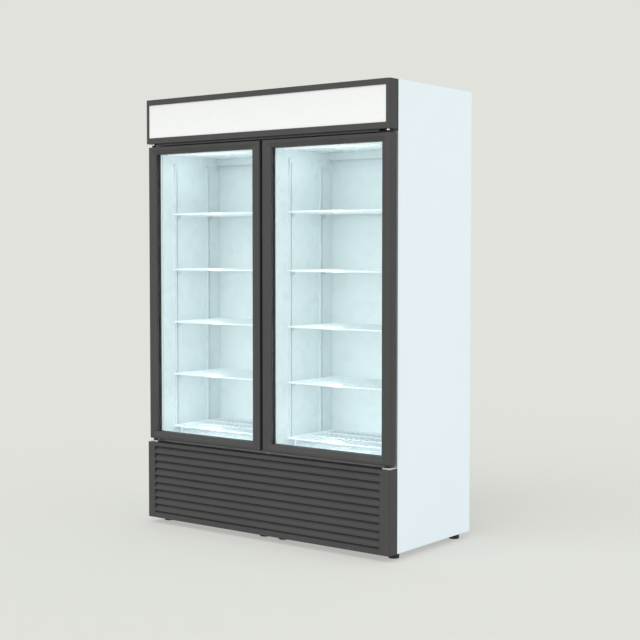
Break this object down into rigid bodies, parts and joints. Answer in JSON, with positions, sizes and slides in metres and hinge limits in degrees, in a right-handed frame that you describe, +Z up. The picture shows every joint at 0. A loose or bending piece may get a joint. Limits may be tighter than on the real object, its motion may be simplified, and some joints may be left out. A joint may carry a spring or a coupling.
{
  "type": "glass door merchandiser",
  "caption": "Upright double-door glass merchandiser refrigerator with a lit header, wire shelves in both bays and a louvred lower front.",
  "frame": {"origin": "on the floor under the middle of the cabinet's outer box", "axes": "+Z up, -Y out of the doors, +X to a customer's right"},
  "size_m": [1.4, 0.647, 2.01],
  "materials": {
    "graphite": "satin",
    "grey_trim": "matte",
    "black_plastic": "matte",
    "white_coat": "satin",
    "white_liner": "satin",
    "white_wire": "satin",
    "white_gasket": "matte",
    "galvanised": "satin",
    "zinc": "satin",
    "bright_steel": "polished",
    "black_steel": "satin",
    "foam": "matte",
    "opal": "satin",
    "led": "satin",
    "glass": "polished",
    "fins": "satin",
    "copper": "satin"
  },
  "bodies": {
    "cabinet": {"side_panel_left": "white_coat", "side_panel_right": "white_coat", "roof_panel": "white_coat", "rear_panel": "galvanised", "upper_deck": "galvanised", "machine_deck": "galvanised", "corner_posts": "galvanised", "base_pan": "galvanised", "insulation_core": "foam", "liner_panels": "white_liner", "centre_partition": "white_liner", "rear_duct_panel": "white_liner", "face_frame": "grey_trim", "levelling_feet": "black_plastic", "cabinet_screws": "zinc", "shelf_standards": "white_liner", "shelf_clips": "zinc", "base_racks": "white_wire", "header_frame": "graphite", "louvre_grille": "graphite", "sign_panel": "opal", "light_box_back": "white_coat", "sign_led_bars": "led", "led_driver": "zinc", "interior_led_strips": "led", "top_hinge_brackets": "black_steel", "bottom_hinge_brackets": "zinc", "hinge_pins": "bright_steel", "condenser_coil": "fins", "condenser_shroud": "galvanised", "condenser_fan_motor": "black_steel", "compressor": "black_steel", "drip_tray": "black_plastic", "refrigerant_pipes": "copper", "control_box": "black_plastic", "cord_gland": "black_plastic", "evaporator_coil": "fins", "evaporator_fan_motors": "black_steel", "shelf_left_1": "white_wire", "shelf_left_2": "white_wire", "shelf_left_3": "white_wire", "shelf_left_4": "white_wire", "shelf_right_1": "white_wire", "shelf_right_2": "white_wire", "shelf_right_3": "white_wire", "shelf_right_4": "white_wire"},
    "door_left": {"door_frame_left": "graphite", "glass_panes_left": "glass", "glass_spacer_left": "black_plastic", "door_gasket_left": "white_gasket", "hinge_bushes_left": "black_plastic"},
    "door_right": {"door_frame_right": "graphite", "glass_panes_right": "glass", "glass_spacer_right": "black_plastic", "door_gasket_right": "white_gasket", "hinge_bushes_right": "black_plastic"},
    "condenser_fan": {"condenser_fan_wheel": "fins"},
    "evaporator_fan_left": {"evaporator_fan_wheel_left": "black_plastic"},
    "evaporator_fan_right": {"evaporator_fan_wheel_right": "black_plastic"},
    "light_rocker": {"light_switch": "black_plastic"}
  },
  "joints": [
    {"name": "door_left_hinge", "type": "hinge", "parent": "cabinet", "child": "door_left", "pos_m": [-0.6733, -0.2954, 0.4], "axis": [0, 0, -1], "range_deg": [0, 110], "stiffness_Nm_per_rad": 1.2, "springref_deg": -28.65},
    {"name": "door_right_hinge", "type": "hinge", "parent": "cabinet", "child": "door_right", "pos_m": [0.6733, -0.2954, 0.4], "axis": [0, 0, 1], "range_deg": [0, 110], "stiffness_Nm_per_rad": 1.2, "springref_deg": -28.65},
    {"name": "condenser_fan_spin", "type": "hinge", "parent": "cabinet", "child": "condenser_fan", "pos_m": [-0.39, -0.141, 0.19], "axis": [0, 1, 0], "continuous": true},
    {"name": "evaporator_fan_left_spin", "type": "hinge", "parent": "cabinet", "child": "evaporator_fan_left", "pos_m": [-0.33, 0.211, 0.784], "axis": [0, 0, 1], "continuous": true},
    {"name": "evaporator_fan_right_spin", "type": "hinge", "parent": "cabinet", "child": "evaporator_fan_right", "pos_m": [0.33, 0.211, 0.784], "axis": [0, 0, 1], "continuous": true},
    {"name": "light_switch_rock", "type": "hinge", "parent": "cabinet", "child": "light_rocker", "pos_m": [0.48, 0.3105, 0.3], "axis": [1, 0, 0], "range_deg": [0, 16]}
  ]
}
